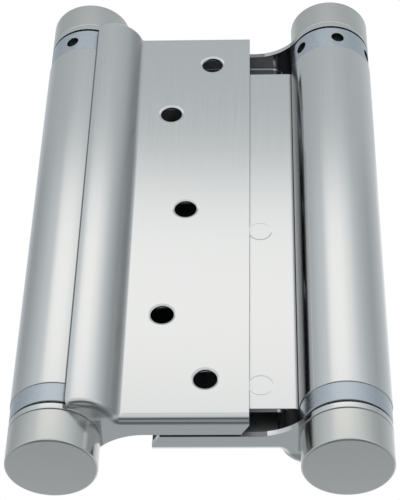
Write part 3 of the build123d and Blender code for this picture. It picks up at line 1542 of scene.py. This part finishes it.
    def _cutting_recipe(self, node: str, holes: int, slot_low: float, slot_high: float) -> Recipe:
        """Make the tree that drills a ring of tommy bar holes and cuts the spring slot.

        Args:
            node: The collar's node, without its side.
            holes: Number of holes, or nought.
            slot_low: Height of the slot's lower end.
            slot_high: Height of the slot's upper end.

        Returns:
            The closed tree.
        """
        low_end = node == "fixed_collar"
        recipe = Recipe(
            f"{self.side.value}_{node}_cuts",
            {
                "Holes": holes,
                "Hole Radius": self.tommy_radius,
                "Hole Depth": self.tommy_depth,
                "Mouth Chamfer": self.mouth_chamfer,
                "Ring Radius": self.collar_radius,
                "Ring Height": (self.tube_high + self.collar_high) / 2,
                "First Turn": math.radians(self.first_hole_turn),
                "Slot Floor": self.slot_floor,
                "Slot Width": self.slot_width,
                "Slot Shift": self.slot_shift if low_end else -self.slot_shift,
                "Slot Low": slot_low,
                "Slot High": slot_high,
                "Axis X": self.side.x,
                "Half Turn": self.side.half_turn,
            },
        )
        tree, given = recipe.tree, recipe.given
        move = add_node(tree, "ShaderNodeCombineXYZ", {"X": given["Axis X"]})
        cutters = add_node(tree, "GeometryNodeJoinGeometry")
        for drawn in (self._holes(tree, given), self._slot(tree, given)):
            tree.links.new(drawn, cutters.inputs["Geometry"])
        placed = add_node(
            tree,
            "GeometryNodeTransform",
            {"Geometry": cutters.outputs["Geometry"], "Translation": move.outputs["Vector"]},
        )
        real = add_node(
            tree, "GeometryNodeRealizeInstances", {"Geometry": placed.outputs["Geometry"]}
        )
        cut = add_node(
            tree,
            "GeometryNodeMeshBoolean",
            {
                "Mesh 1": given["Geometry"],
                "Mesh 2": real.outputs["Geometry"],
                "Self Intersection": True,
            },
            operation="DIFFERENCE",
            solver="EXACT",
        )
        # The walls and floors of the tommy bar holes take the bore finish, darkened as painted
        # shade.
        recipe.close(cut.outputs["Mesh"], self._shaded_inside(tree, given))
        return recipe

    def _shaded_inside(
        self, tree: bpy.types.NodeTree, given: bpy.types.NodeOutputs
    ) -> bpy.types.NodeSocket:
        """Pick the walls and floors of the tommy bar holes.

        Args:
            tree: The tree.
            given: Its inputs.

        Returns:
            True on the faces between the collar's bore and the holes' mouths, which take the
            painted shade.
        """
        place = add_node(tree, "GeometryNodeInputPosition")
        axis = add_node(
            tree, "ShaderNodeCombineXYZ", {"X": given["Axis X"], "Z": given["Ring Height"]}
        )
        scaled = add_node(
            tree,
            "ShaderNodeVectorMath",
            {"Vector": place.outputs["Position"], "Scale": 1 / MM},
            operation="SCALE",
        )
        away = add_node(
            tree,
            "ShaderNodeVectorMath",
            {0: scaled.outputs["Vector"], 1: axis.outputs["Vector"]},
            operation="SUBTRACT",
        )
        parts = add_node(tree, "ShaderNodeSeparateXYZ", {"Vector": away.outputs["Vector"]})
        flat = add_node(
            tree,
            "ShaderNodeVectorMath",
            {0: away.outputs["Vector"], 1: (1.0, 1.0, 0.0)},
            operation="MULTIPLY",
        )
        radius = add_node(
            tree, "ShaderNodeVectorMath", {0: flat.outputs["Vector"]}, operation="LENGTH"
        )
        middle = (self.collar_bore + self.collar_radius - self.mouth_chamfer) / 2
        reach = (self.collar_radius - self.mouth_chamfer - self.collar_bore) / 2 - self.hole_margin
        between = add_node(
            tree,
            "ShaderNodeMath",
            {0: radius.outputs["Value"], 1: middle, 2: reach},
            operation="COMPARE",
        )
        level = add_node(
            tree,
            "ShaderNodeMath",
            {0: parts.outputs["Z"], 1: 0.0, 2: given["Hole Radius"]},
            operation="COMPARE",
        )
        both = add_node(
            tree,
            "ShaderNodeMath",
            {0: between.outputs["Value"], 1: level.outputs["Value"]},
            operation="MULTIPLY",
        )
        return both.outputs["Value"]

    def _holes(
        self, tree: bpy.types.NodeTree, given: bpy.types.NodeOutputs
    ) -> bpy.types.NodeSocket:
        """Set a drill with a chamfering mouth at each tommy bar hole.

        Args:
            tree: The tree.
            given: The tree's inputs.

        Returns:
            The drills, about the origin's axis.
        """
        length = add_node(
            tree, "ShaderNodeMath", {0: given["Hole Depth"], 1: 2.0}, operation="MULTIPLY"
        )
        drill = add_node(
            tree,
            "GeometryNodeMeshCylinder",
            {
                "Vertices": self.hole_steps,
                "Radius": given["Hole Radius"],
                "Depth": length.outputs[0],
            },
        )
        flare = add_node(
            tree, "ShaderNodeMath", {0: given["Mouth Chamfer"], 1: 2.0}, operation="MULTIPLY"
        )
        wide = add_node(
            tree, "ShaderNodeMath", {0: given["Hole Radius"], 1: flare.outputs[0]}, operation="ADD"
        )
        mouth = add_node(
            tree,
            "GeometryNodeMeshCone",
            {
                "Vertices": self.hole_steps,
                "Radius Top": wide.outputs[0],
                "Radius Bottom": given["Hole Radius"],
                "Depth": flare.outputs[0],
            },
        )
        mouth_drop = add_node(
            tree, "ShaderNodeMath", {0: given["Mouth Chamfer"], 1: -1.0}, operation="MULTIPLY"
        )
        mouth_place = add_node(tree, "ShaderNodeCombineXYZ", {"Z": mouth_drop.outputs[0]})
        moved = add_node(
            tree,
            "GeometryNodeTransform",
            {"Geometry": mouth.outputs["Mesh"], "Translation": mouth_place.outputs["Vector"]},
        )
        tool = add_node(tree, "GeometryNodeJoinGeometry")
        tree.links.new(drill.outputs["Mesh"], tool.inputs["Geometry"])
        tree.links.new(moved.outputs["Geometry"], tool.inputs["Geometry"])
        out = add_node(tree, "ShaderNodeCombineXYZ", {"X": given["Ring Radius"]})
        aimed = add_node(
            tree,
            "GeometryNodeTransform",
            {
                "Geometry": tool.outputs["Geometry"],
                "Translation": out.outputs["Vector"],
                "Rotation": (0.0, math.pi / 2, 0.0),
            },
        )
        level = add_node(tree, "ShaderNodeCombineXYZ", {"Z": given["Ring Height"]})
        centre = add_node(
            tree,
            "GeometryNodePoints",
            {"Count": given["Holes"], "Position": level.outputs["Vector"]},
        )
        index = add_node(tree, "GeometryNodeInputIndex")
        share = add_node(
            tree, "ShaderNodeMath", {0: math.tau, 1: given["Holes"]}, operation="DIVIDE"
        )
        turn = add_node(
            tree,
            "ShaderNodeMath",
            {0: index.outputs[0], 1: share.outputs[0], 2: given["First Turn"]},
            operation="MULTIPLY_ADD",
        )
        facing = add_node(tree, "ShaderNodeCombineXYZ", {"Z": turn.outputs[0]})
        ring = add_node(
            tree,
            "GeometryNodeInstanceOnPoints",
            {
                "Points": centre.outputs[0],
                "Instance": aimed.outputs["Geometry"],
                "Rotation": facing.outputs["Vector"],
            },
        )
        return ring.outputs["Instances"]

    @staticmethod
    def _slot(tree: bpy.types.NodeTree, given: bpy.types.NodeOutputs) -> bpy.types.NodeSocket:
        """Set the block that cuts the slot for the spring's leg.

        Args:
            tree: The tree.
            given: The tree's inputs.

        Returns:
            The block, about the origin's axis.
        """
        height = add_node(
            tree,
            "ShaderNodeMath",
            {0: given["Slot High"], 1: given["Slot Low"]},
            operation="SUBTRACT",
        )
        size = add_node(
            tree,
            "ShaderNodeCombineXYZ",
            {"X": given["Ring Radius"], "Y": given["Slot Width"], "Z": height.outputs[0]},
        )
        block = add_node(tree, "GeometryNodeMeshCube", {"Size": size.outputs["Vector"]})
        out = add_node(
            tree,
            "ShaderNodeMath",
            {0: given["Ring Radius"], 1: 0.5, 2: given["Slot Floor"]},
            operation="MULTIPLY_ADD",
        )
        middle = add_node(
            tree,
            "ShaderNodeMath",
            {0: height.outputs[0], 1: 0.5, 2: given["Slot Low"]},
            operation="MULTIPLY_ADD",
        )
        place = add_node(
            tree,
            "ShaderNodeCombineXYZ",
            {"X": out.outputs[0], "Y": given["Slot Shift"], "Z": middle.outputs[0]},
        )
        moved = add_node(
            tree,
            "GeometryNodeTransform",
            {"Geometry": block.outputs["Mesh"], "Translation": place.outputs["Vector"]},
        )
        turn = add_node(tree, "ShaderNodeCombineXYZ", {"Z": given["Half Turn"]})
        turned = add_node(
            tree,
            "GeometryNodeTransform",
            {"Geometry": moved.outputs["Geometry"], "Rotation": turn.outputs["Vector"]},
        )
        return turned.outputs["Geometry"]


@dataclass(frozen=True)
class Lamp:
    """A soft square lamp, aimed at the hinge's middle.

    Attributes:
        name: The lamp's name.
        place: Its place, in millimetres.
        width: Length of its side, in millimetres.
        power: Its power, in watts.
    """

    name: str
    place: tuple[float, float, float]
    width: float
    power: float


@dataclass
class Studio:
    """Soft studio round the hinge: the light, the pale floor and the camera.

    Attributes:
        camera_place: The camera's place, in millimetres.
        camera_azimuth: The camera's turn from straight in front, in degrees.
        camera_elevation: The camera's angle above the horizon, in degrees.
        camera_roll: The camera's tilt about its own axis, in degrees.
        lens: The focal length, in millimetres.
        sensor: Width of the sensor, in millimetres.
        lamps: The lamps that shade the plain pieces and the floor.
        plain_level: Brightness of the room for all but metal.
        floor_colour: Colour of the paper floor.
        floor_roughness: Roughness of the paper floor.
        floor_size: Side of the floor, in millimetres.
        floor_gap: How far the floor lies under the caps, in millimetres.
        level_stops: Brightness that metal mirrors at the level of the soft boxes, by azimuth.
        high_stops: Brightness above the soft boxes, by azimuth.
        low_stops: Brightness below the soft boxes, by elevation.
        near_stops: The same in front, where the dark room lies under the camera.
        band_stops: Share of the soft boxes' pattern under them, by elevation.
        facing_stops: Share of the dark room, by azimuth.
        level_rise: Elevations between which the soft boxes begin, in degrees.
        level_fall: Elevations between which they end, in degrees.
        shade_tint: Tint of the dark parts of the room.
        tint_turn: Brightness up to which the room is shade and from which it is a soft box.
        box_tint: Tint of the soft boxes.
    """

    camera_place: tuple[float, float, float] = (15.21, -315.19, -229.71)
    camera_azimuth: float = 2.983
    camera_elevation: float = -43.177
    camera_roll: float = 1.618
    lens: float = 125.85
    sensor: float = 36.0
    lamps: Sequence[Lamp] = (
        Lamp("key_lamp", (-160.0, -190.0, 1000.0), 400.0, 7.0),
        Lamp("fill_lamp", (130.0, -90.0, 800.0), 600.0, 2.0),
    )
    plain_level: float = 0.62
    floor_colour: str = "#F4F4F2"
    floor_roughness: float = 0.9
    floor_size: float = 12000.0
    floor_gap: float = 0.2
    level_stops: Sequence[tuple[float, float]] = (
        (-180.0, 0.95),
        (-150.0, 0.6),
        (-115.0, 0.38),
        (-97.0, 0.4),
        (-71.0, 0.53),
        (-57.0, 0.62),
        (-43.0, 0.68),
        (-30.0, 1.0),
        (-18.0, 1.08),
        (2.0, 1.07),
        (10.0, 1.0),
        (24.0, 0.87),
        (38.0, 0.67),
        (52.0, 0.55),
        (68.0, 0.46),
        (85.0, 0.4),
        (106.0, 0.48),
        (135.0, 0.64),
        (165.0, 0.95),
        (180.0, 0.95),
    )
    high_stops: Sequence[tuple[float, float]] = (
        (-180.0, 0.7),
        (-110.0, 0.45),
        (-60.0, 0.48),
        (0.0, 0.52),
        (50.0, 0.48),
        (90.0, 0.5),
        (180.0, 0.7),
    )
    low_stops: Sequence[tuple[float, float]] = (
        (-90.0, 0.13),
        (-62.0, 0.14),
        (-38.0, 0.39),
        (-20.0, 0.55),
        (8.0, 0.66),
        (28.0, 0.66),
    )
    near_stops: Sequence[tuple[float, float]] = (
        (-90.0, 0.3),
        (-64.0, 0.3),
        (-55.0, 0.12),
        (-37.0, 0.12),
        (-25.0, 0.6),
        (8.0, 0.78),
        (28.0, 0.7),
    )
    band_stops: Sequence[tuple[float, float]] = (
        (-34.0, 0.0),
        (-22.0, 0.75),
        (28.0, 0.75),
    )
    facing_stops: Sequence[tuple[float, float]] = (
        (-60.0, 0.0),
        (-40.0, 1.0),
        (40.0, 1.0),
        (60.0, 0.0),
    )
    level_rise: tuple[float, float] = (33.0, 40.0)
    level_fall: tuple[float, float] = (44.7, 46.7)
    shade_tint: tuple[float, float, float, float] = (0.94, 1.0, 1.035, 1.0)
    tint_turn: tuple[float, float] = (0.6, 0.95)
    box_tint: tuple[float, float, float, float] = (1.0, 1.0, 0.985, 1.0)

    def build(self) -> None:
        """Make the world, the lamps, the floor and the camera."""
        self._build_world()
        self._build_lamps()
        self._build_floor()
        self._build_camera()
        bpy.context.scene.view_settings.view_transform = "Standard"

    def _build_world(self) -> None:
        """Make the world: white to the camera, soft boxes to metal, a plain level to all else."""
        world = bpy.data.worlds.new("studio")
        bpy.context.scene.world = world
        world.use_nodes = True
        tree = world.node_tree
        output = tree.nodes["World Output"]
        tree.nodes.remove(tree.nodes["Background"])
        ray = add_node(tree, "ShaderNodeLightPath")
        boxes = add_node(tree, "ShaderNodeBackground", {"Color": self._build_boxes(tree)})
        plain = add_node(
            tree,
            "ShaderNodeBackground",
            {"Color": (1.0, 1.0, 1.0, 1.0), "Strength": self.plain_level},
        )
        white = add_node(tree, "ShaderNodeBackground", {"Color": (1.0, 1.0, 1.0, 1.0)})
        lit = add_node(
            tree,
            "ShaderNodeMixShader",
            {0: ray.outputs["Is Glossy Ray"], 1: plain.outputs[0], 2: boxes.outputs[0]},
        )
        clear = add_node(
            tree,
            "ShaderNodeMath",
            {0: ray.outputs["Is Camera Ray"], 1: ray.outputs["Is Transmission Ray"]},
            operation="MAXIMUM",
        )
        seen = add_node(
            tree,
            "ShaderNodeMixShader",
            {0: clear.outputs[0], 1: lit.outputs[0], 2: white.outputs[0]},
        )
        tree.links.new(seen.outputs[0], output.inputs["Surface"])

    def _build_boxes(self, tree: bpy.types.NodeTree) -> bpy.types.NodeSocket:
        """Lay the soft boxes and their fall-off round the sky, as the metal mirrors them.

        Args:
            tree: The world's tree.

        Returns:
            The brightness in each direction.
        """
        way = add_node(tree, "ShaderNodeTexCoord").outputs["Generated"]
        parts = add_node(tree, "ShaderNodeSeparateXYZ", {"Vector": way})
        towards = add_node(
            tree, "ShaderNodeMath", {0: parts.outputs["Y"], 1: -1.0}, operation="MULTIPLY"
        )
        azimuth = add_node(
            tree,
            "ShaderNodeMath",
            {0: parts.outputs["X"], 1: towards.outputs[0]},
            operation="ARCTAN2",
        )
        elevation = add_node(tree, "ShaderNodeMath", {0: parts.outputs["Z"]}, operation="ARCSINE")
        level = self._brightness_by(tree, azimuth.outputs[0], 180.0, self.level_stops)
        high = self._brightness_by(tree, azimuth.outputs[0], 180.0, self.high_stops)
        low = self._brightness_by(tree, elevation.outputs[0], 90.0, self.low_stops)
        near = self._brightness_by(tree, elevation.outputs[0], 90.0, self.near_stops)
        facing = self._brightness_by(tree, azimuth.outputs[0], 180.0, self.facing_stops)
        share = self._brightness_by(tree, elevation.outputs[0], 90.0, self.band_stops)
        banded = add_node(tree, "ShaderNodeMixRGB", {0: share, 1: low, 2: level})
        lower = add_node(tree, "ShaderNodeMixRGB", {0: facing, 1: banded.outputs[0], 2: near})
        shares = [
            add_node(
                tree,
                "ShaderNodeMapRange",
                {
                    "Value": elevation.outputs[0],
                    "From Min": math.radians(start),
                    "From Max": math.radians(end),
                },
            ).outputs["Result"]
            for start, end in (self.level_rise, self.level_fall)
        ]
        middle = add_node(tree, "ShaderNodeMixRGB", {0: shares[0], 1: lower.outputs[0], 2: level})
        bright = add_node(
            tree, "ShaderNodeMixRGB", {0: shares[1], 1: middle.outputs[0], 2: high}
        ).outputs[0]
        turned = add_node(
            tree,
            "ShaderNodeMapRange",
            {"Value": bright, "From Min": self.tint_turn[0], "From Max": self.tint_turn[1]},
        )
        tint = add_node(
            tree,
            "ShaderNodeMixRGB",
            {0: turned.outputs["Result"], 1: self.shade_tint, 2: self.box_tint},
        )
        tinted = add_node(
            tree,
            "ShaderNodeVectorMath",
            {0: bright, 1: tint.outputs[0]},
            operation="MULTIPLY",
        )
        return tinted.outputs["Vector"]

    @staticmethod
    def _brightness_by(
        tree: bpy.types.NodeTree,
        angle: bpy.types.NodeSocket,
        limit: float,
        stops: Sequence[tuple[float, float]],
    ) -> bpy.types.NodeSocket:
        """Look a brightness up by an angle.

        Args:
            tree: The world's tree.
            angle: The angle, in radians.
            limit: The angle's largest size, in degrees.
            stops: Angle in degrees and brightness of each stop.

        Returns:
            The brightness.
        """
        share = add_node(
            tree,
            "ShaderNodeMapRange",
            {"Value": angle, "From Min": -math.radians(limit), "From Max": math.radians(limit)},
        )
        ramp = add_node(tree, "ShaderNodeValToRGB", {"Fac": share.outputs["Result"]})
        set_ramp(ramp.color_ramp, [((a + limit) / (2 * limit), grey) for a, grey in stops])
        return ramp.outputs["Color"]

    def _build_lamps(self) -> None:
        """Hang the soft lamps that give the plain pieces and the floor their shade."""
        aim = Vector((0.0, 0.0, OVERALL_HEIGHT / 2 * MM))
        for lamp in self.lamps:
            data = bpy.data.lights.new(lamp.name, "AREA")
            data.energy = lamp.power
            data.size = lamp.width * MM
            hung = bpy.data.objects.new(lamp.name, data)
            bpy.context.collection.objects.link(hung)
            hung.location = Vector(lamp.place) * MM
            hung.rotation_mode = "QUATERNION"
            hung.rotation_quaternion = (aim - hung.location).to_track_quat("-Z", "Y")
            hung.visible_glossy = False
            hung.visible_camera = False

    def _build_floor(self) -> None:
        """Lay the pale floor, which is clear from below, where the photo looks up through it."""
        half = self.floor_size / 2 * MM
        z = -self.floor_gap * MM
        mesh = bpy.data.meshes.new("floor")
        corners = [(-half, -half, z), (half, -half, z), (half, half, z), (-half, half, z)]
        mesh.from_pydata(corners, [], [(0, 1, 2, 3)])
        floor = bpy.data.objects.new("floor", mesh)
        bpy.context.collection.objects.link(floor)
        material = bpy.data.materials.new("paper_backdrop_matt")
        material.use_nodes = True
        tree = material.node_tree
        shader = tree.nodes["Principled BSDF"]
        shader.inputs["Base Color"].default_value = linear(self.floor_colour)
        shader.inputs["Roughness"].default_value = self.floor_roughness
        below = add_node(tree, "ShaderNodeNewGeometry").outputs["Backfacing"]
        clear = add_node(tree, "ShaderNodeBsdfTransparent")
        seen = add_node(
            tree,
            "ShaderNodeMixShader",
            {0: below, 1: shader.outputs[0], 2: clear.outputs[0]},
        )
        tree.links.new(seen.outputs[0], tree.nodes["Material Output"].inputs["Surface"])
        mesh.materials.append(material)
        floor.visible_glossy = False
        floor.visible_transmission = False
        floor.visible_shadow = False

    def _build_camera(self) -> None:
        """Set the camera up where the photo was taken from."""
        azimuth, elevation = math.radians(self.camera_azimuth), math.radians(self.camera_elevation)
        back = Vector(
            (
                math.sin(azimuth) * math.cos(elevation),
                -math.cos(azimuth) * math.cos(elevation),
                math.sin(elevation),
            )
        )
        right = (-back).cross(Vector((0.0, 0.0, 1.0))).normalized()
        up = right.cross(-back)
        roll = math.radians(self.camera_roll)
        right, up = (
            right * math.cos(roll) + up * math.sin(roll),
            up * math.cos(roll) - right * math.sin(roll),
        )
        data = bpy.data.cameras.new("camera")
        data.lens = self.lens
        data.sensor_width = self.sensor
        data.clip_start = 0.01
        data.clip_end = 20.0
        camera = bpy.data.objects.new("camera", data)
        bpy.context.collection.objects.link(camera)
        turned = Matrix((right, up, back)).transposed().to_4x4()
        camera.matrix_world = Matrix.Translation(Vector(self.camera_place) * MM) @ turned
        bpy.context.scene.camera = camera


def main() -> None:
    """Dress the hinge and set up the studio."""
    logging.basicConfig(level=logging.INFO, format="%(message)s")
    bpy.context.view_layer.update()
    finishes = Finishes()
    for side in Side:
        Leaf(side).build(finishes)
    CentreWeb().build(finishes.sheet)
    for side, first_hole_turn in ((Side.LEFT, -112.0), (Side.RIGHT, -80.0)):
        Barrel(side, first_hole_turn).build(finishes)
        TorsionSpring(side).build(finishes.spring)
    Studio().build()


if __name__ == "__main__":
    main()
